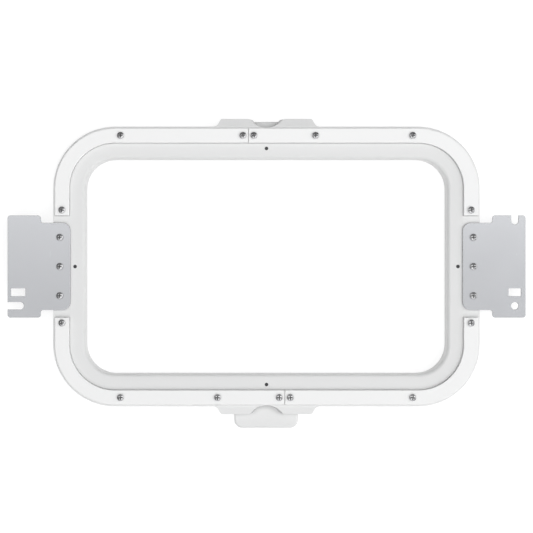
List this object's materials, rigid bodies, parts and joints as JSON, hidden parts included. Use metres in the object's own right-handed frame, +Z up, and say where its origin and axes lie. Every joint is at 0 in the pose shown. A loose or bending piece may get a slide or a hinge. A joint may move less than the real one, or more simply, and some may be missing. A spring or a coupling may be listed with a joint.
{
  "type": "magnetic embroidery hoop",
  "caption": "Rounded rectangular magnetic embroidery hoop of two clamping rings, with screwed cover strips and flat sheet-metal brackets for the arms of an embroidery machine.",
  "frame": {"origin": "centre of the sewing window, on the plane that the lower ring rests on", "axes": "+X along the hoop's long side, towards the right bracket; +Y towards the rear, away from the pull tab; +Z up, from the lower ring to the upper ring"},
  "size_m": [0.451, 0.2709, 0.0225],
  "materials": {
    "ring_plastic": "satin white injection-moulded plastic",
    "strip_plastic": "bright white moulded strip, slightly glossier than the ring",
    "bracket_steel": "satin stainless sheet, fine grain along the sheet",
    "screw_steel": "bright zinc-plated or stainless screws",
    "insert_brass": "plain machined brass",
    "magnet_nickel": "nickel plating on block magnets"
  },
  "bodies": {
    "lower_ring": {"lower_ring": "ring_plastic", "base_strip_rear_left": "strip_plastic", "base_screws_rear_left": "screw_steel", "base_strip_rear_right": "strip_plastic", "base_screws_rear_right": "screw_steel", "base_strip_front_left": "strip_plastic", "base_screws_front_left": "screw_steel", "base_strip_front_right": "strip_plastic", "base_screws_front_right": "screw_steel", "lower_magnets_rear": "magnet_nickel", "lower_magnets_front": "magnet_nickel", "lower_magnets_left": "magnet_nickel", "lower_magnets_right": "magnet_nickel"},
    "upper_ring": {"upper_ring": "ring_plastic", "cover_strip_rear_left": "strip_plastic", "strip_screws_rear_left": "screw_steel", "cover_strip_rear_right": "strip_plastic", "strip_screws_rear_right": "screw_steel", "cover_strip_front_left": "strip_plastic", "strip_screws_front_left": "screw_steel", "cover_strip_front_right": "strip_plastic", "strip_screws_front_right": "screw_steel", "bracket_left": "bracket_steel", "bracket_screws_left": "screw_steel", "bracket_inserts_left": "insert_brass", "bracket_right": "bracket_steel", "bracket_screws_right": "screw_steel", "bracket_inserts_right": "insert_brass", "upper_magnets_rear": "magnet_nickel", "upper_magnets_front": "magnet_nickel", "upper_magnets_left": "magnet_nickel", "upper_magnets_right": "magnet_nickel"}
  },
  "joints": [
    {"name": "upper_ring_lift", "type": "slide", "parent": "lower_ring", "child": "upper_ring", "axis": [0, 0, 1], "range_m": [0, 0.06]}
  ]
}
